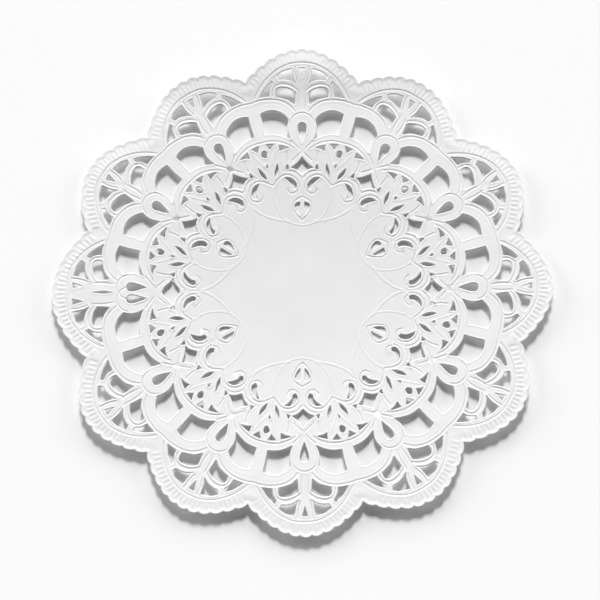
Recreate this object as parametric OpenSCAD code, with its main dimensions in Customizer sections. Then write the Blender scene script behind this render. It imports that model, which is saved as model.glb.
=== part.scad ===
// Round paper lace doily: one thin sheet, cut and embossed, that lies as a very
// shallow dish. The lace repeats twelve times round the centre. Beside the ninth
// motif the die repeats a stem and a teardrop, so that motif is wider than the rest.

/* [Sheet] */
// Diameter across two opposite scallop tips
doily_d = 203; // [100:1:305]
// Thickness of the pressed sheet
sheet_t = 0.4; // [0.3:0.05:0.8]
// Colour of the paper
paper = "white"; // [white, ivory, gold, silver]

/* [Dish] */
// Radius of the flat middle that the sheet rests on
rest_r = 22; // [15:1:30]
// Height of the underside at the outer edge of the plain centre panel
panel_lift = 0.8; // [0:0.1:4]
// Height of the underside at the scallop tips
rim_lift = 3.7; // [0:0.1:8]

/* [Lace] */
// Depth of the small bumps along the scalloped edge
bump_h = 1; // [0:0.1:1.5]
// Straight chords in each round stretch of a cut-out
chords = 2; // [1:1:4]

/* [Hidden] */

motifs = 12;
pitch = 360 / motifs;
nominal_d = 203;
k = doily_d / nominal_d;

// The dish: flat middle, then three cones. The middle cone ends at the foot of the
// windows, having risen by this share of the way from the panel to the rim.
ring_share = 0.59;
panel_r = 40 * k;
ring_r = 66 * k;
outer_r = 106 * k;
ring_lift = panel_lift + (rim_lift - panel_lift) * ring_share;

// Scallop edge in millimetres on the nominal sheet: a parabola through its tip.
tip_y = 101.2;
edge_flat = 0.0241;
bumps = 11;

// Turn of each motif from its even place, in degrees. The doubled motif at 270
// degrees pushes its neighbours aside; the push fades out towards the middle.
double_at = 270;
gap = 0.8;
drift = [
    [0, -0.3], [30, -0.7], [60, -0.7], [90, -1.05], [120, -0.8], [150, -0.15],
    [180, -0.85], [210, -2.2], [240, -3.4], [double_at - gap, -3.6],
    [double_at + gap, 0.6], [300, 0.6], [330, 0], [360, -0.3]
];
// Turn of everything inside the radius where the push begins.
centre_turn = -0.3;
fade_from = 40;
fade_to = 67;

// How far the sheet is stretched outwards at each angle, growing between two radii.
pull = [
    [0, 1.7], [30, -0.3], [60, 0], [90, -0.3], [120, -0.8], [150, -0.6], [180, 0.2],
    [210, 0.4], [240, 0.7], [270, -0.2], [300, 0], [330, 0.6], [360, 1.7]
];
pull_from = 66;
pull_to = 86;

// Cut-outs, each as [x, y, corner] with y outward along the motif's own axis and
// corner 1 for a sharp point or 0 for a point on a round stretch.
upper_hole = [
    [4.3, 93.4, 1], [8.2, 92.2, 0], [10.8, 90.3, 1], [9.8, 88.8, 1], [7.5, 88.9, 0],
    [4.9, 88.3, 0], [2.5, 86.9, 1], [3.6, 89.3, 0]
];
loop_hole = [
    [2.6, 83.6, 1], [4.2, 84.6, 0], [6.3, 85.4, 0], [8.5, 85.7, 0], [10.4, 85.2, 0],
    [11, 83.8, 0], [10.8, 82, 1], [8.1, 81.4, 0], [5.7, 80.6, 0], [3.1, 78.6, 1]
];
side_hole = [
    [12.6, 88.3, 1], [14.9, 86, 0], [16.5, 83.7, 0], [17.8, 81.6, 1], [15.4, 82, 0],
    [13.5, 82.2, 1], [13.3, 84.3, 0], [11.9, 87.2, 1]
];
fan_slit = [[-1.2, 93.5, 1], [1.2, 93.5, 1], [0, 89.5, 1]];
window = [
    [5.6, 72.9, 1], [7.3, 74.6, 0], [9.6, 75.9, 0], [12.3, 76.5, 0],
    [14.9, 76.1, 0], [17.4, 75, 1], [16.3, 71, 0], [15.4, 66.6, 1], [13, 66.9, 0],
    [10.4, 66.8, 0], [7.7, 66.1, 0], [4.9, 64.9, 1], [6, 67.8, 0], [6.2, 70.2, 0]
];
teardrop = [
    [0, 71.6, 0], [1.4, 71, 0], [1.8, 69.6, 0], [1.3, 67.2, 0], [0, 63.5, 1],
    [-1.3, 67.2, 0], [-1.8, 69.6, 0], [-1.4, 71, 0]
];
arch_hole_a = [
    [5.3, 61.2, 1], [7.6, 61.8, 0], [9.7, 62.2, 1], [9.4, 59.7, 1], [7.8, 60.6, 0]
];
arch_hole_b = [[11.7, 62.6, 1], [15.3, 62.4, 1], [13.4, 60.2, 1]];
diamond = [
    [15.9, 59.7, 0], [16.7, 58.4, 0], [15.7, 56.6, 0], [14.5, 57.2, 0],
    [14.2, 58.7, 0]
];
pip = [[14.4, 53.8, 1], [13.4, 53.4, 1], [13.9, 52.1, 1]];
leaf_slit = [
    [10.3, 54.3, 1], [11, 52.2, 0], [11.4, 50.2, 0], [11.1, 48.2, 1], [10.2, 50, 0],
    [9.8, 52.2, 0]
];
star = [
    [0, 57.2, 1], [1.5, 55.3, 0], [3, 53.8, 0], [4.6, 52.7, 1], [2.4, 51.9, 0],
    [0, 49.8, 1], [-2.4, 51.9, 0], [-4.6, 52.7, 1], [-3, 53.8, 0], [-1.5, 55.3, 0]
];
star_side = [[5.3, 52.3, 1], [6.8, 51.8, 1], [6.2, 54, 1]];
crescent = [
    [7.4, 48.3, 1], [5.5, 48.4, 0], [3.6, 47.5, 0], [2.4, 45.9, 0], [2.2, 44.3, 0],
    [2.9, 43.3, 1], [4, 43.8, 1], [4.2, 45.1, 0], [5.5, 46.8, 0]
];
bud_hole = [
    [0.9, 37.9, 1], [2.4, 37.6, 0], [3.1, 36.4, 0], [2.3, 34.3, 0], [1, 32.7, 1]
];
stem_slit = [[0, 85.6, 1], [0.5, 81, 0], [0, 77.5, 1], [-0.5, 81, 0]];

paired = [
    upper_hole, loop_hole, side_hole, window, arch_hole_a, arch_hole_b,
    leaf_slit, star_side, crescent
];

// Slope of a smooth closed outline at point i, towards point j beside it.
function step(p, i, j) = p[(j + len(p)) % len(p)] - p[(i + len(p)) % len(p)];
function slope(p, i) =
    min(norm(step(p, i, i + 1)), norm(step(p, i - 1, i)))
    * step(p, i - 1, i + 1) / norm(step(p, i - 1, i + 1));
function blend(a, b, ta, tb, t) =
    (2 * t^3 - 3 * t^2 + 1) * a + (t^3 - 2 * t^2 + t) * ta
    + (3 * t^2 - 2 * t^3) * b + (t^3 - t^2) * tb;
function flat_points(q) = [for (c = q) [c[0], c[1]]];

// A closed outline with chords laid along each stretch that meets a round point.
function smooth(q) =
    let (p = flat_points(q), n = len(q))
    [
        for (i = [0:n - 1])
            let (
                j = (i + 1) % n,
                straight = q[i][2] == 1 && q[j][2] == 1,
                ta = q[i][2] == 1 ? step(p, i, i + 1) : slope(p, i),
                tb = q[j][2] == 1 ? step(p, i, i + 1) : slope(p, j),
                cuts = straight ? 1 : chords
            )
            for (c = [0:cuts - 1]) blend(p[i], p[j], ta, tb, c / cuts)
    ];

// Mirror across the motif's axis.
function flip(p) = [for (i = [len(p) - 1:-1:0]) [-p[i][0], p[i][1]]];

// How far the doubled motif's push reaches at radius r: 0 inside, 1 outside.
function reach(r) = min(1, max(0, (r - fade_from) / (fade_to - fade_from)));

// A point at radius r and angle turn, with the stretch applied.
function pulled(r, turn) =
    let (
        share = min(1, max(0, (r - pull_from) / (pull_to - pull_from))),
        out = r + share * lookup((turn + 360) % 360, pull)
    )
    k * out * [sin(turn), cos(turn)];

// Places one outline on the sheet at the even angle a, with the push applied.
function place(p, a) = [
    for (c = p)
        let (
            r = norm(c),
            even = (a + atan2(c[0], c[1]) + 360) % 360,
            push = lookup(even, drift) - centre_turn
        )
        pulled(r, even + centre_turn + push * reach(r))
];

// Places one outline rigidly at the angle a.
function place_rigid(p, a) = [for (c = p) pulled(norm(c), a + atan2(c[0], c[1]))];

// Angle of the valley after scallop i, and the edge between two valleys.
function valley(i) =
    let (even = pitch * (i + 0.5))
    even + lookup((even + 360) % 360, drift);
function scallop_r(a) =
    let (s = edge_flat * sin(a)^2)
    s < 0.000001 ? tip_y : (-cos(a) + sqrt(cos(a)^2 + 4 * s * tip_y)) / (2 * s);
function edge_point(i, f, out) =
    let (
        from = valley(i - 1),
        turn = from + (valley(i) - from) * f,
        a = pitch * (f - 0.5),
        r = scallop_r(a) + out
    )
    pulled(r, turn);
function edge() = [
    for (i = [0:motifs - 1])
        let (n = i == double_at / pitch ? bumps + 1 : bumps)
        for (b = [0:n - 1], s = [[0, 0], [0.25, 0.8], [0.5, 1], [0.75, 0.8]])
            edge_point(i, (b + s[0]) / n, bump_h * s[1])
];

// Both copies of a cut-out that lies on the axis of the doubled motif.
module axis_holes(p) {
    for (i = [0:motifs - 1])
        if (pitch * i != double_at)
            polygon(place_rigid(smooth(p), pitch * i + lookup(pitch * i, drift)));
    for (side = [-1, 1])
        polygon(place_rigid(smooth(p), double_at + lookup(double_at + side * gap, drift)));
}

module lace_holes() {
    for (i = [0:motifs - 1], p = paired) {
        polygon(place(smooth(p), pitch * i));
        polygon(place(flip(smooth(p)), pitch * i));
    }
    for (i = [0:motifs - 1]) {
        polygon(place(smooth(star), pitch * i));
        polygon(place(smooth(diamond), pitch * i));
        polygon(place(smooth(pip), pitch * i));
    }
    for (i = [0:2:motifs - 1]) {
        polygon(place(smooth(bud_hole), pitch * i));
        polygon(place(flip(smooth(bud_hole)), pitch * i));
    }
    axis_holes(fan_slit);
    axis_holes(teardrop);
    polygon(place_rigid(smooth(stem_slit), double_at - 1.2));
}

module lace_outline() {
    difference() {
        polygon(edge());
        lace_holes();
    }
}

// The solid that the sheet is cut from: a shallow dish of even thickness.
module dish() {
    rotate_extrude($fn = 180)
        polygon([
            [0, 0], [rest_r * k, 0], [panel_r, panel_lift], [ring_r, ring_lift],
            [outer_r, rim_lift], [outer_r, rim_lift + sheet_t],
            [ring_r, ring_lift + sheet_t], [panel_r, panel_lift + sheet_t],
            [rest_r * k, sheet_t], [0, sheet_t]
        ]);
}

module doily() {
    color(paper)
        intersection() {
            dish();
            linear_extrude(height = rim_lift + sheet_t + 1) lace_outline();
        }
}

doily();
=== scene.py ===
"""A round paper lace doily lying face up on a white table, seen from above.

The sheet is one mesh. Cut outlines and embossed lines are written for one motif of
the lace, repeated round the centre, and triangulated. The relief is then a height
worked out from the distance to the nearest cut edge and to the nearest line.
Lengths are in millimetres and angles in degrees until the mesh is made. Angles on
the sheet are measured from +Y towards +X.
"""
import math

import bpy
import numpy as np
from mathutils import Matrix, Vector, geometry, kdtree


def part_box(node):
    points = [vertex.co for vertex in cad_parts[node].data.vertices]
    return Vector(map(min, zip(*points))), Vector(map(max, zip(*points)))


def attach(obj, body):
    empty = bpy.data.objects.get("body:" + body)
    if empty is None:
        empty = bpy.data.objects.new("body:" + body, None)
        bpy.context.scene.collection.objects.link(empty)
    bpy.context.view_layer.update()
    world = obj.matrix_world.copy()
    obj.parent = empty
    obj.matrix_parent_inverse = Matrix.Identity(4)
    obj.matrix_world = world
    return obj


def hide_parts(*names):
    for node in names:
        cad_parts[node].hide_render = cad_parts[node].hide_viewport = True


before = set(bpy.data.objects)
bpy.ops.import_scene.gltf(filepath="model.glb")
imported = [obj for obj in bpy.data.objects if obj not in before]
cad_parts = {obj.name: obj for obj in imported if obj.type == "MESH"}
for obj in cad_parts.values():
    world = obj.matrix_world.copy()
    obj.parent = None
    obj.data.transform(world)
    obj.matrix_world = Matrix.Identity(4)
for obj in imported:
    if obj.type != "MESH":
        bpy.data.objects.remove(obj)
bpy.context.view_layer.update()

MM = 0.001

# --- The sheet ------------------------------------------------------------
motifs = 12
pitch = 360 / motifs
tip_y = 101.2          # radius of a scallop's tip, without its bumps
edge_flat = 0.0241     # how fast the scallop's parabola falls away
bumps = 11             # small bumps along one scallop
bump_h = 1
bump_points = 8        # points along one bump
bump_blunt = 0.6       # below 1, a bump is blunter than half a sine wave
paper_t = 0.15         # thickness of the embossed paper
table_gap = 0.1        # clear height between the paper and the table
node_low, node_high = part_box("doily")

# Turn of each motif from its even place. The motif at double_at has two axes, each
# with a stem and a teardrop of its own, and pushes its neighbours aside. One axis is
# turned as the table says at double_at - gap, the other as at double_at + gap.
double_at = 270
gap = 0.8
stem_slit_at = double_at - 1.2     # the slit between the two stems
drift_at = np.array([0, 30, 60, 90, 120, 150, 180, 210, 240, double_at - gap,
                     double_at + gap, 300, 330, 360])
drift_turn = np.array([-0.3, -0.7, -0.7, -1.05, -0.8, -0.15, -0.85, -2.2, -3.4, -3.6,
                       0.6, 0.6, 0, -0.3])
centre_turn = -0.3     # turn of everything inside fade_from
fade_from = 40
fade_to = 67
# How far the sheet is stretched outwards at each motif. The stretch grows from
# nothing at the radius pull_from to the whole at pull_to.
pull_at = np.arange(0, 361, 30)
pull_out = np.array([1.7, -0.3, 0, -0.3, -0.8, -0.6, 0.2, 0.4, 0.7, -0.2, 0, 0.6, 1.7])
pull_from = 66
pull_to = 86

# Height of the sheet's underside by radius, as straight cones. They are rounded into
# one another by averaging the height twice over the length dish_round.
dish_r = [0, 22, 40, 66, 140]
dish_z = [0, 0, 0.8, 2.5, 4.72]
dish_round = 12.5
dish_step = 0.5        # between the radii where it is averaged
# The scallop at +Y curls up from the table, from one y to another.
curl_z = 2.4
curl_from = 78
curl_to = 101

# --- Cut-outs -------------------------------------------------------------
# Each is a list of (x, y, corner): y runs outward along the motif's axis, corner is
# 1 for a sharp point and 0 for a point on a round stretch.
upper_hole = [(4.3, 93.4, 1), (8.2, 92.2, 0), (10.8, 90.3, 1), (9.8, 88.8, 1),
              (7.5, 88.9, 0), (4.9, 88.3, 0), (2.5, 86.9, 1), (3.6, 89.3, 0)]
loop_hole = [(2.6, 83.6, 1), (4.2, 84.6, 0), (6.3, 85.4, 0), (8.5, 85.7, 0),
             (10.4, 85.2, 0), (11, 83.8, 0), (10.8, 82, 1), (8.1, 81.4, 0),
             (5.7, 80.6, 0), (3.1, 78.6, 1)]
side_hole = [(12.6, 88.3, 1), (14.9, 86, 0), (16.5, 83.7, 0), (17.8, 81.6, 1),
             (15.4, 82, 0), (13.5, 82.2, 1), (13.3, 84.3, 0), (11.9, 87.2, 1)]
fan_slit = [(-1.2, 93.5, 1), (1.2, 93.5, 1), (0, 89.5, 1)]
window = [(5.6, 72.9, 1), (7.3, 74.6, 0), (9.6, 75.9, 0), (12.3, 76.5, 0), (14.9, 76.1, 0),
          (17.4, 75, 1), (16.3, 71, 0), (15.4, 66.6, 1), (13, 66.9, 0),
          (10.4, 66.8, 0), (7.7, 66.1, 0), (4.9, 64.9, 1), (6, 67.8, 0), (6.2, 70.2, 0)]
teardrop = [(0, 71.6, 0), (1.4, 71, 0), (1.8, 69.6, 0), (1.3, 67.2, 0), (0, 63.5, 1),
            (-1.3, 67.2, 0), (-1.8, 69.6, 0), (-1.4, 71, 0)]
arch_hole_a = [(5.3, 61.2, 1), (7.6, 61.8, 0), (9.7, 62.2, 1), (9.4, 59.7, 1), (7.8, 60.6, 0)]
arch_hole_b = [(11.7, 62.6, 1), (15.3, 62.4, 1), (13.4, 60.2, 1)]
diamond = [(15.9, 59.7, 0), (16.7, 58.4, 0), (15.7, 56.6, 0), (14.5, 57.2, 0), (14.2, 58.7, 0)]
pip = [(14.4, 53.8, 1), (13.4, 53.4, 1), (13.9, 52.1, 1)]
leaf_slit = [(10.3, 54.3, 1), (11, 52.2, 0), (11.4, 50.2, 0), (11.1, 48.2, 1),
             (10.2, 50, 0), (9.8, 52.2, 0)]
star = [(0, 57.2, 1), (1.5, 55.3, 0), (3, 53.8, 0), (4.6, 52.7, 1), (2.4, 51.9, 0),
        (0, 49.8, 1), (-2.4, 51.9, 0), (-4.6, 52.7, 1), (-3, 53.8, 0), (-1.5, 55.3, 0)]
star_side = [(5.3, 52.3, 1), (6.8, 51.8, 1), (6.2, 54, 1)]
crescent = [(7.4, 48.3, 1), (5.5, 48.4, 0), (3.6, 47.5, 0), (2.4, 45.9, 0),
            (2.2, 44.3, 0), (2.9, 43.3, 1), (4, 43.8, 1), (4.2, 45.1, 0), (5.5, 46.8, 0)]
bud_hole = [(0.9, 37.9, 1), (2.4, 37.6, 0), (3.1, 36.4, 0), (2.3, 34.3, 0), (1, 32.7, 1)]
stem_slit = [(0, 85.6, 1), (0.5, 81, 0), (0, 77.5, 1), (-0.5, 81, 0)]

# Cut-outs that every motif has on both sides, and those that it has once.
paired = [upper_hole, loop_hole, side_hole, window, arch_hole_a, arch_hole_b,
          leaf_slit, star_side, crescent]
single = [star, diamond, pip]

# --- Embossed lines -------------------------------------------------------
# Each line is a run of points on a smooth curve in the motif's frame, and is
# mirrored to its other side. A profile is the height across a line, by the distance
# from its middle.
GROOVE = "groove"
FINE = "fine groove"
CORD = "cord"
profiles = {
    GROOVE: ([0, 0.2, 0.42, 0.7, 1], [-0.23, -0.1, 0.03, 0.06, 0]),
    FINE: ([0, 0.32], [-0.1, 0]),
    CORD: ([0, 0.38, 0.62, 0.9], [0.1, 0, -0.06, 0]),
}
every_motif = [
    (GROOVE, [(2.9, 76), (4.1, 77.4), (6, 79), (8.2, 80.1), (10.5, 80.7), (13.5, 80.9),
              (17, 80.6), (19.6, 79.9), (21.2, 79.3)]),
    (FINE, [(4.2, 74.8), (5.5, 76.4), (7.5, 77.9), (9.8, 79), (12.5, 79.4), (15.5, 79.2),
            (18.5, 78.4), (20.6, 77.6)]),
    (GROOVE, [(4, 61.2), (5.6, 62.3), (7.5, 63.2), (9.8, 63.8), (12.5, 64), (15.2, 63.6),
              (17, 63.1)]),
    (FINE, [(2.6, 68.6), (2.3, 66), (1.7, 63.7), (0.9, 61.5)]),
    (GROOVE, [(4.9, 64.3), (3.6, 63.1), (2.3, 61.9), (1.3, 61)]),
    (GROOVE, [(0, 95.9), (4.5, 95.5), (8.3, 94.1), (11.8, 91.9), (14.7, 89.2), (17, 86.3),
              (18.6, 83.6), (19.7, 81.2)]),
    (GROOVE, [(1.9, 84.4), (3.4, 85.6), (5.4, 86.6), (7.9, 87.1), (10.2, 86.7), (11.7, 85.6),
              (12.3, 84), (12.2, 82.2)]),
    (GROOVE, [(3, 93.9), (2.9, 91.2), (1.8, 87.4)]),
    (GROOVE, [(1.2, 85.2), (1.5, 81.4), (1.1, 77.6)]),
    (GROOVE, [(1, 58.7), (2.3, 57.4), (3.7, 56)]),
    (FINE, [(2.6, 60.2), (4, 58.9), (4.8, 57.2), (4.9, 55.6)]),
    (GROOVE, [(11.9, 44.9), (10.8, 46.4), (9.7, 47.9), (8.4, 49), (7, 49.6), (5.3, 49.5),
              (3.5, 48.7), (2, 47.1), (1.2, 45.2), (1.2, 43.4)]),
    (GROOVE, [(7.4, 51.2), (5.2, 51.3), (3.1, 50.7), (1.6, 49.6), (0.5, 48.2)]),
    (FINE, [(0, 48.6), (0, 41)]),
    (GROOVE, [(2, 43.1), (2.8, 42), (4, 41.6), (5.3, 42), (6, 42.9)]),
    (FINE, [(10.6, 41), (10.7, 43), (10.3, 45), (9.5, 46.1), (8.3, 46.8), (7.2, 46.6)]),
]
# Lines on the motif's own axis, which the doubled motif has twice.
on_axis = [
    (GROOVE, [(-5.2, 71.2), (-4.1, 73.5), (-2.2, 75), (0, 75.5), (2.2, 75), (4.1, 73.5),
              (5.2, 71.2)]),
]
# Lines round the leaf between two motifs, in a frame whose axis is the leaf's.
every_leaf = [
    (CORD, [(0.9, 54.6), (2.9, 57.6), (4.8, 60.8), (5.6, 62.8)]),
    (GROOVE, [(9, 58.5), (8.7, 55.7), (7.7, 53.3), (6.1, 51.5)]),
    (FINE, [(7.1, 60.6), (5.9, 60), (4.8, 59)]),
]
# Lines round the plain centre. At each bud a long stem passes below it, and one more
# on each side comes down to that stem. Between two buds a pair of stems spreads from
# the foot of the motif.
bud_outline = [(0, 30.2), (1.6, 31.8), (3, 33.9), (3.8, 36), (3.5, 37.8), (2, 39.3), (0, 40.4)]
bud_lines = [
    (GROOVE, bud_outline),
    (CORD, [(0, 28.1), (3.4, 28.8), (6.9, 29.9), (10, 30.4), (13.6, 31.3), (17, 33.2),
            (19.5, 35), (20.5, 36)]),
    (CORD, [(11.9, 44.6), (12, 42), (11.6, 39), (10.6, 36), (9, 33), (6.9, 30.6), (5, 29.4)]),
]
between_lines = [
    (CORD, [(0, 41.8), (1.2, 37.8), (4.1, 34.1), (8.1, 30), (11, 28.4)]),
]

# --- Relief ---------------------------------------------------------------
# Height of the rolled bead along a cut edge, by the distance from the edge.
bead_d = [0, 0.22, 0.5, 0.9]
bead_z = [-0.15, 0.14, 0.17, 0]
# Height of the upturned lip and the low swell of the border, by the distance from
# the outer edge.
rim_d = [0, 0.45, 0.95, 1.5, 4.2, 6.8]
rim_z = [0.3, 0.24, 0.12, 0, 0.14, 0]
# Pleats of the border: their share of the full depth by the distance from the outer
# edge and from a cut-out.
pleat_pitch = 2.1
pleat_z = 0.18
pleat_low = 0.3        # share of that depth at +Y and -Y; at +X and -X it is whole
pleat_d = [1.3, 1.9, 3, 4.1, 4.9]
pleat_share = [0, 1, 1, 1, 0]
pleat_cut_d = [1.2, 2.2]
pleat_cut_share = [0, 1]

# --- Fineness of the mesh -------------------------------------------------
cut_step = 0.7         # between points along a cut edge
line_step = 0.6        # between points along an embossed line
fill_step = 1.7        # between points on the plain paper
sample_step = 0.1      # between the samples that distances are measured to
close = 0.17           # two points nearer than this become one
pleat_close = 0.32     # the same for the points of the pleats
bead_close = 0.3       # the same for the points of a bead, as a share of their offset
fill_close = 0.75      # the same for the points on the plain paper, in fill steps
row_step = 0.87        # between two rows of those points, in fill steps
line_clear = 0.25      # least distance from a cut edge to the middle of a line
side_clear = 0.3       # and to the points beside it
keep_share = 0.93      # share of its offset that an offset point keeps from any cut
fan_turn = 0.5         # a corner that turns by more radians gets a fan of points
level = 0.004          # relief lower than this counts as plain paper
tiny = 1e-6
merge = 1e-5           # tolerance of the triangulation


# --- Curves ---------------------------------------------------------------
def blend(a, b, ta, tb, t):
    """A point at the share t of the way from a to b, leaving along ta, arriving along tb."""
    return ((2 * t**3 - 3 * t**2 + 1) * a + (t**3 - 2 * t**2 + t) * ta
            + (3 * t**2 - 2 * t**3) * b + (t**3 - t**2) * tb)


def slope(before, here, after):
    """The way that a smooth curve runs at a point, as long as the shorter side."""
    across = after - before
    reach = min(np.linalg.norm(after - here), np.linalg.norm(here - before))
    return reach * across / np.linalg.norm(across)


def smooth_loop(control, step):
    """A closed outline through the control points, with points about a step apart."""
    points = np.array([c[:2] for c in control], float)
    corner = [c[2] == 1 for c in control]
    n = len(points)
    out = []
    for i in range(n):
        j = (i + 1) % n
        a, b = points[i], points[j]
        ta = b - a if corner[i] else slope(points[i - 1], a, b)
        tb = b - a if corner[j] else slope(a, b, points[(j + 1) % n])
        steps = max(1, round(np.linalg.norm(b - a) / step))
        out += [blend(a, b, ta, tb, k / steps) for k in range(steps)]
    return np.array(out)


def smooth_line(control, step):
    """An open curve through the control points, with points about a step apart."""
    points = np.array(control, float)
    n = len(points)
    out = []
    for i in range(n - 1):
        a, b = points[i], points[i + 1]
        ta = slope(points[i - 1], a, b) if i > 0 else b - a
        tb = slope(a, b, points[i + 2]) if i + 2 < n else b - a
        steps = max(1, round(np.linalg.norm(b - a) / step))
        out += [blend(a, b, ta, tb, k / steps) for k in range(steps)]
    return np.array(out + [points[-1]])


def flip(points):
    """The mirror image across the motif's axis, run the other way round."""
    return points[::-1] * (-1, 1)


def place(points, angle):
    """Puts points of a motif on the sheet at its even angle, with the drift applied."""
    r = np.hypot(points[:, 0], points[:, 1])
    even = (angle + np.degrees(np.arctan2(points[:, 0], points[:, 1]))) % 360
    reach = np.clip((r - fade_from) / (fade_to - fade_from), 0, 1)
    drift = centre_turn + (np.interp(even, drift_at, drift_turn) - centre_turn) * reach
    return pull(r, np.radians(even + drift))


def pull(r, turn):
    """Points at radius r and angle turn, with the sheet's stretch applied."""
    share = np.clip((r - pull_from) / (pull_to - pull_from), 0, 1)
    r = r + share * np.interp(np.degrees(turn) % 360, pull_at, pull_out)
    return np.stack([r * np.sin(turn), r * np.cos(turn)], 1)


def place_rigid(points, angle):
    """Puts points of a motif on the sheet at this very angle."""
    r = np.hypot(points[:, 0], points[:, 1])
    return pull(r, np.radians(angle) + np.arctan2(points[:, 0], points[:, 1]))


def both_sides(points, angle):
    """Points of a motif placed at its even angle, and their mirror image."""
    return [place(points, angle), place(flip(points), angle)]


def axis_angles():
    """Angles of the motif axes, with both axes of the doubled motif."""
    others = [a for a in np.arange(motifs) * pitch if a != double_at]
    drifted = [a + np.interp(a, drift_at, drift_turn) for a in others]
    double = [double_at + np.interp(double_at + s * gap, drift_at, drift_turn)
              for s in (-1, 1)]
    return drifted + double


def valley(i):
    """Angle of the valley after scallop i."""
    even = pitch * (i + 0.5)
    return even + np.interp(even % 360, drift_at, drift_turn)


def scallop_r(a):
    """Radius of a scallop, without bumps, at this many degrees from its tip."""
    away, along = math.sin(math.radians(a)), math.cos(math.radians(a))
    s = edge_flat * away**2
    if s < tiny:
        return tip_y
    return (math.sqrt(along**2 + 4 * s * tip_y) - along) / (2 * s)


def outer_edge(bump):
    """The scalloped outline, with bumps of this height."""
    out = []
    for i in range(motifs):
        n = bumps + 1 if i == double_at / pitch else bumps
        start, span = valley(i - 1), valley(i) - valley(i - 1)
        for k in range(n * bump_points):
            f = k / (n * bump_points)
            wave = math.sin(math.pi * (k % bump_points) / bump_points)
            r = scallop_r(pitch * (f - 0.5)) + bump * wave**bump_blunt
            out.append((r, math.radians(start + span * f)))
    return pull(*np.array(out).T)


def cut_loops():
    """All cut-outs, as closed outlines."""
    loops = []
    for i in range(motifs):
        angle = pitch * i
        for hole in paired:
            loops += both_sides(smooth_loop(hole, cut_step), angle)
        for hole in single:
            loops.append(place(smooth_loop(hole, cut_step), angle))
        if i % 2 == 0:
            loops += both_sides(smooth_loop(bud_hole, cut_step), angle)
    for angle in axis_angles():
        for hole in (fan_slit, teardrop):
            loops.append(place_rigid(smooth_loop(hole, cut_step), angle))
    loops.append(place_rigid(smooth_loop(stem_slit, cut_step), stem_slit_at))
    return loops


def emboss_lines():
    """All embossed lines as (kind, points)."""
    out = []
    for i in range(motifs):
        angle = pitch * i
        inner = bud_lines if i % 2 == 0 else between_lines
        for shift, group in ((0, every_motif + inner), (pitch / 2, every_leaf)):
            for kind, control in group:
                points = smooth_line(control, line_step)
                out += [(kind, p) for p in both_sides(points, angle + shift)]
    for angle in axis_angles():
        for kind, control in on_axis:
            out.append((kind, place_rigid(smooth_line(control, line_step), angle)))
    return out


# --- Distances ------------------------------------------------------------
def dense(points, closed, step):
    """Points a small step apart along a polyline, and the length run at each."""
    ends = np.roll(points, -1, 0) if closed else points[1:]
    starts = points if closed else points[:-1]
    out, run, total = [], [], 0
    for a, b in zip(starts, ends):
        length = math.dist(a, b)
        n = max(1, math.ceil(length / step))
        t = np.arange(n)[:, None] / n
        out.append(a + (b - a) * t)
        run.append(total + length * t[:, 0])
        total += length
    return np.concatenate(out), np.concatenate(run)


def tree_of(polylines, closed):
    """A tree of samples along the polylines, and the length run at each sample."""
    samples = [dense(p, closed, sample_step) for p in polylines]
    points = np.concatenate([s[0] for s in samples])
    runs = np.concatenate([s[1] for s in samples])
    tree = kdtree.KDTree(len(points))
    for i, p in enumerate(points):
        tree.insert((p[0], p[1], 0), i)
    tree.balance()
    return tree, runs


def distances(tree, points):
    """Distance from each point to the nearest sample, and which sample that is."""
    found = [tree.find((x, y, 0)) for x, y in points]
    return np.array([f[2] for f in found]), np.array([f[1] for f in found])


# --- Triangulation --------------------------------------------------------
def loop_normals(loop):
    """Unit normals of a loop's segments, to the left of the way it runs."""
    along = np.roll(loop, -1, 0) - loop
    along /= np.linalg.norm(along, axis=1)[:, None]
    return np.stack([-along[:, 1], along[:, 0]], 1)


def winding(loop):
    """1 for a loop that runs anticlockwise, and -1 for one that runs clockwise."""
    x, y = loop[:, 0], loop[:, 1]
    return 1 if np.sum(x * np.roll(y, -1) - y * np.roll(x, -1)) > 0 else -1


def offset_points(loop, d, side):
    """Points at a distance from a loop, with a fan of them round each corner.

    They lie to the left of the way the loop runs if side is 1, to its right if -1.
    """
    normals = loop_normals(loop) * side
    out = []
    for i in range(len(loop)):
        a, b = normals[i - 1], normals[i]
        turn = math.atan2(a[0] * b[1] - a[1] * b[0], a @ b)
        opens = turn * side < 0
        if not opens or abs(turn) <= fan_turn:
            middle = (a + b) / max(tiny, np.linalg.norm(a + b))
            out.append(loop[i] + d * middle)
            continue
        n = max(1, round(abs(turn) * d / cut_step))
        for k in range(n + 1):
            t = turn * k / n
            c, s = math.cos(t), math.sin(t)
            out.append(loop[i] + d * np.array([a[0] * c - a[1] * s, a[0] * s + a[1] * c]))
    return out


class Sieve:
    """Keeps points that aren't too close to the ones already kept."""
    cell = 0.5

    def __init__(self):
        self.grid = {}
        self.kept = []

    def key(self, p):
        """The square of the grid that holds a point."""
        return int(math.floor(p[0] / self.cell)), int(math.floor(p[1] / self.cell))

    def add(self, p, room):
        """Keeps a point unless one is kept already within this distance."""
        i, j = self.key(p)
        n = math.ceil(room / self.cell)
        for a in range(i - n, i + n + 1):
            for b in range(j - n, j + n + 1):
                for q in self.grid.get((a, b), ()):
                    if (q[0] - p[0])**2 + (q[1] - p[1])**2 < room * room:
                        return
        self.force(p)

    def force(self, p):
        """Keeps a point whatever is near it."""
        self.grid.setdefault(self.key(p), []).append(p)
        self.kept.append(p)


def inside(loop, p):
    """Whether a point lies inside a closed loop."""
    x, y = p
    a, b = loop, np.roll(loop, -1, 0)
    crosses = (a[:, 1] > y) != (b[:, 1] > y)
    a, b = a[crosses], b[crosses]
    at = a[:, 0] + (y - a[:, 1]) * (b[:, 0] - a[:, 0]) / (b[:, 1] - a[:, 1])
    return np.sum(at > x) % 2 == 1


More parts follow.
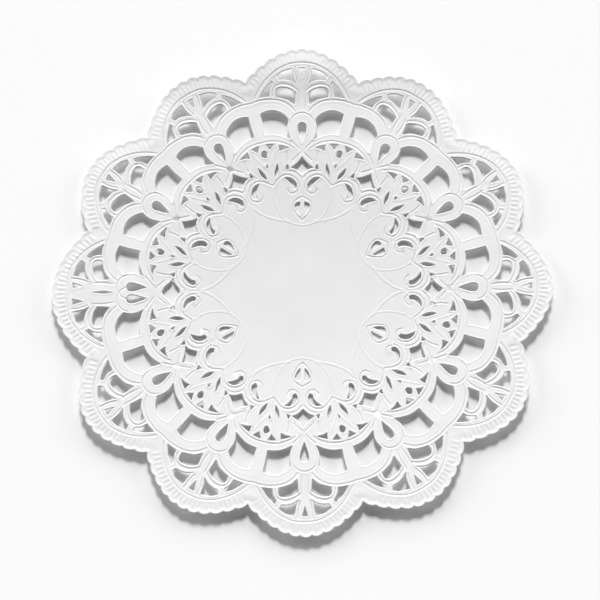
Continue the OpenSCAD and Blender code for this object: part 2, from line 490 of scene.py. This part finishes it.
def in_sheet(points, edge, holes):
    """Which points lie on the paper."""
    count = np.zeros(len(points), int)
    for loop in [edge] + holes:
        low, high = loop.min(0), loop.max(0)
        near = np.nonzero(np.all((points >= low) & (points <= high), 1))[0]
        count[near] += np.array([inside(loop, points[i]) for i in near], int)
    return count == 1


def paper_points(edge, holes, lines):
    """Points of the flat sheet, and the run of the points along each cut."""
    cut_tree, _ = tree_of([edge] + holes, True)
    sieve = Sieve()
    runs = []
    for loop in [edge] + holes:
        first = len(sieve.kept)
        for p in loop:
            sieve.force(p)
        runs.append(range(first, len(sieve.kept)))

    def offer(points, room, clear):
        """Keeps points on the paper that are clear of every cut by this much."""
        points = np.array(points)
        points = points[in_sheet(points, edge, holes)]
        d, _ = distances(cut_tree, points)
        for p in points[d > clear]:
            sieve.add(p, room)

    for _, points in lines:
        offer(points, close, line_clear)
    for d in bead_d[1:]:
        beside = [p for hole in holes for p in offset_points(hole, d, -winding(hole))]
        offer(beside, max(close, bead_close * d), keep_share * d)
    inward = winding(edge)
    for d in rim_d[1:4]:
        offer(offset_points(edge, d, inward), close, keep_share * d)
    for kind, points in lines:
        along = np.gradient(points, axis=0)
        along /= np.linalg.norm(along, axis=1)[:, None]
        normal = np.stack([-along[:, 1], along[:, 0]], 1)
        for d in profiles[kind][0][1:]:
            offer(np.concatenate([points + d * normal, points - d * normal]),
                  close, side_clear)
    # Four points to a pleat.
    pleat, _ = dense(outer_edge(0), True, pleat_pitch / 4)
    for d in pleat_d:
        offer(offset_points(pleat, d, inward), pleat_close, rim_d[2])
    # Rows of a nearly equilateral grid, every other one moved by half a step.
    across = np.arange(-tip_y, tip_y, fill_step)
    rows = np.arange(-tip_y, tip_y, row_step * fill_step)
    fill = [(x + fill_step / 2 * (k % 2), y) for k, y in enumerate(rows) for x in across]
    offer(fill, fill_close * fill_step, bead_d[-1])
    return sieve.kept, runs


def triangulate(kept, runs, edge, holes):
    """Points and triangles of the flat sheet, without those that fill a cut-out."""
    segments = [(run[k], run[(k + 1) % len(run)]) for run in runs for k in range(len(run))]
    flat, _, triangles, origin, _, _ = geometry.delaunay_2d_cdt(
        [Vector(p) for p in kept], segments, [], 0, merge)
    flat = np.array([tuple(v) for v in flat])
    triangles = np.array(triangles)
    # Only a triangle with all its corners on one cut can lie in a cut-out.
    cut_of = np.full(len(kept), -1)
    for n, run in enumerate(runs):
        cut_of[list(run)] = n
    owner = np.array([sources[-1] if sources else -1 for sources in origin])
    corners = np.where(owner >= 0, cut_of[owner], -1)[triangles]
    suspects = np.nonzero((corners[:, 0] >= 0) & np.all(corners == corners[:, :1], 1))[0]
    keep = np.ones(len(triangles), bool)
    keep[suspects] = in_sheet(flat[triangles[suspects]].mean(1), edge, holes)
    return flat, triangles[keep]


def relief(points, edge, holes, lines):
    """Height of the embossing above the plain paper at each point."""
    cut_tree, _ = tree_of(holes, True)
    edge_tree, _ = tree_of([edge], True)
    pleat_tree, runs = tree_of([outer_edge(0)], True)
    d_cut, _ = distances(cut_tree, points)
    d_edge, _ = distances(edge_tree, points)
    d_pleat, at = distances(pleat_tree, points)
    height = np.interp(d_cut, bead_d, bead_z) + np.interp(d_edge, rim_d, rim_z)
    for kind, (away, rise) in profiles.items():
        tree, _ = tree_of([p for k, p in lines if k == kind], False)
        d, _ = distances(tree, points)
        height = height + np.interp(d, away, rise)
    band = np.interp(d_pleat, pleat_d, pleat_share)
    band = band * np.interp(d_cut, pleat_cut_d, pleat_cut_share)
    sideways = np.abs(points[:, 0]) / np.hypot(points[:, 0], points[:, 1]).clip(1)
    depth = pleat_z * (pleat_low + (1 - pleat_low) * sideways)
    return height + depth * band * np.cos(2 * np.pi * runs[at] / pleat_pitch)


# --- The mesh -------------------------------------------------------------
def dish(r):
    """Height of the sheet's underside by radius: the cones, rounded."""
    radii = np.arange(0, dish_r[-1], dish_step)
    n = round(dish_round / dish_step)
    even = np.ones(n) / n
    padded = np.concatenate([np.zeros(2 * n), np.interp(radii, dish_r, dish_z)])
    soft = np.convolve(np.convolve(padded, even, "same"), even, "same")[2 * n:]
    return np.interp(r, radii, soft)


def top_points(flat, height, edge):
    """Points of the paper's top in metres, as wide in y as the CAD's box."""
    r = np.hypot(flat[:, 0], flat[:, 1])
    share = np.clip((flat[:, 1] - curl_from) / (curl_to - curl_from), 0, 1)
    curl = curl_z * share**2 * (3 - 2 * share)
    top = np.column_stack([flat, dish(r) + curl + paper_t + height + table_gap])
    scale = (node_high.y - node_low.y) / MM / np.ptp(edge[:, 1])
    return top * (scale * MM)


def face_up(flat, triangles):
    """The same triangles, all running anticlockwise seen from above."""
    a, b, c = (flat[triangles[:, k]] for k in range(3))
    area = (b - a)[:, 0] * (c - a)[:, 1] - (b - a)[:, 1] * (c - a)[:, 0]
    return np.where((area < 0)[:, None], triangles[:, ::-1], triangles)


def open_sides(triangles):
    """Sides of triangles that no other triangle shares."""
    sides = dict.fromkeys((t[k], t[(k + 1) % 3]) for t in triangles for k in range(3))
    return [(a, b) for a, b in sides if (b, a) not in sides]


def make_sheet():
    """The paper as one closed mesh: its top, its underside and the cut walls."""
    edge, holes, lines = outer_edge(bump_h), cut_loops(), emboss_lines()
    kept, runs = paper_points(edge, holes, lines)
    flat, triangles = triangulate(kept, runs, edge, holes)
    height = relief(flat, edge, holes, lines)
    triangles = face_up(flat, triangles)
    top = top_points(flat, height, edge)
    low = top - (0, 0, paper_t * MM)
    n = len(flat)
    upper = triangles.tolist()
    lower = [(c + n, b + n, a + n) for a, b, c in upper]
    walls = [(a, a + n, b + n, b) for a, b in open_sides(upper)]
    mesh = bpy.data.meshes.new("doily_paper")
    mesh.from_pydata(np.concatenate([top, low]).tolist(), [], upper + lower + walls)
    mesh.validate()
    # The embossing is shaded smooth; the plain paper and the walls are flat.
    bent = (np.abs(height) > level)[triangles].any(1).tolist()
    mesh.polygons.foreach_set("use_smooth", bent + bent + [False] * len(walls))
    sheet = bpy.data.objects.new("doily_paper", mesh)
    bpy.context.collection.objects.link(sheet)
    return sheet


# --- Materials ------------------------------------------------------------
def paper_material():
    """Matt white paper with a faint cloudiness and fibres, which lets light through."""
    mat = bpy.data.materials.new("paper")
    mat.use_nodes = True
    nodes, links = mat.node_tree.nodes, mat.node_tree.links
    shader = nodes["Principled BSDF"]
    shader.inputs["Roughness"].default_value = 0.72
    shader.inputs["Specular IOR Level"].default_value = 0.3
    where = nodes.new("ShaderNodeTexCoord")

    cloud = nodes.new("ShaderNodeTexNoise")
    cloud.inputs["Scale"].default_value = 90
    cloud.inputs["Detail"].default_value = 4
    tint = nodes.new("ShaderNodeValToRGB")
    darker, lighter = tint.color_ramp.elements
    darker.position = 0.35
    darker.color = (0.845, 0.845, 0.843, 1)
    lighter.position = 0.7
    lighter.color = (0.87, 0.87, 0.868, 1)
    links.new(where.outputs["Object"], cloud.inputs["Vector"])
    links.new(cloud.outputs["Fac"], tint.inputs["Fac"])
    links.new(tint.outputs["Color"], shader.inputs["Base Color"])

    fibre = nodes.new("ShaderNodeTexNoise")
    fibre.inputs["Scale"].default_value = 2600
    fibre.inputs["Detail"].default_value = 3
    bump = nodes.new("ShaderNodeBump")
    bump.inputs["Strength"].default_value = 0.25
    bump.inputs["Distance"].default_value = 0.05 * MM
    links.new(where.outputs["Object"], fibre.inputs["Vector"])
    links.new(fibre.outputs["Fac"], bump.inputs["Height"])
    links.new(bump.outputs["Normal"], shader.inputs["Normal"])

    through = nodes.new("ShaderNodeBsdfTranslucent")
    through.inputs["Color"].default_value = (0.9, 0.9, 0.9, 1)
    both = nodes.new("ShaderNodeMixShader")
    both.inputs["Fac"].default_value = 0.33
    links.new(shader.outputs["BSDF"], both.inputs[1])
    links.new(through.outputs["BSDF"], both.inputs[2])
    links.new(both.outputs["Shader"], nodes["Material Output"].inputs["Surface"])
    return mat


def table_material():
    """A plain pale table."""
    mat = bpy.data.materials.new("table")
    mat.use_nodes = True
    shader = mat.node_tree.nodes["Principled BSDF"]
    shader.inputs["Base Color"].default_value = (0.77, 0.77, 0.77, 1)
    shader.inputs["Roughness"].default_value = 0.8
    return mat


# --- Stage ----------------------------------------------------------------
def make_floor():
    """A table so wide that its far edge stays out of a low view."""
    half = 15
    mesh = bpy.data.meshes.new("table_top")
    mesh.from_pydata([(-half, -half, 0), (half, -half, 0), (half, half, 0), (-half, half, 0)],
                     [], [(0, 1, 2, 3)])
    mesh.materials.append(table_material())
    floor = bpy.data.objects.new("table_top", mesh)
    bpy.context.collection.objects.link(floor)


def sun(name, energy, width, height, side):
    """A far lamp, with its width, its height above the table and its turn from +Y."""
    lamp = bpy.data.lights.new(name, "SUN")
    lamp.energy = energy
    lamp.angle = math.radians(width)
    holder = bpy.data.objects.new(name, lamp)
    elevation = math.radians(height)
    turn = math.radians(side)
    towards = Vector((math.cos(elevation) * math.sin(turn),
                      math.cos(elevation) * math.cos(turn), math.sin(elevation)))
    holder.rotation_mode = "QUATERNION"
    holder.rotation_quaternion = towards.to_track_quat("Z", "Y")
    bpy.context.collection.objects.link(holder)


def make_light():
    """A broad key lamp beyond the sheet, and three low ones that graze the relief."""
    sun("key", 2.95, 14, 43, 0)
    sun("low_back", 1.5, 30, 25, 0)
    sun("low_left", 1.5, 30, 18, -65)
    sun("low_right", 1.1, 30, 18, 65)
    world = bpy.data.worlds.new("studio")
    world.use_nodes = True
    back = world.node_tree.nodes["Background"]
    back.inputs["Color"].default_value = (1, 1, 1, 1)
    back.inputs["Strength"].default_value = 0.14
    bpy.context.scene.world = world


def make_camera():
    """A long lens on the -Y side, well above the table."""
    elevation = math.radians(73.67)
    # In metres: the camera stands at this distance from the middle of the sheet at
    # its rim's height, and points a little to the side of it and below it.
    distance = 0.98
    rim_height = 0.004
    aim_right, aim_up = -0.000974, -0.004587
    data = bpy.data.cameras.new("camera")
    data.sensor_width = 36
    data.lens = 144.84
    data.clip_start = 0.05
    camera = bpy.data.objects.new("camera", data)
    back = Vector((0, -math.cos(elevation), math.sin(elevation)))
    right = Vector((1, 0, 0))
    up = Vector((0, math.sin(elevation), math.cos(elevation)))
    camera.location = Vector((0, 0, rim_height)) + back * distance
    ahead = right * aim_right + up * aim_up - back * distance
    camera.rotation_mode = "QUATERNION"
    camera.rotation_quaternion = ahead.to_track_quat("-Z", "Y")
    bpy.context.collection.objects.link(camera)
    bpy.context.scene.camera = camera


make_camera()
make_light()
make_floor()
sheet = make_sheet()
sheet.data.materials.append(paper_material())
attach(sheet, "root")
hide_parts("doily")
bpy.context.scene.view_settings.view_transform = "Standard"
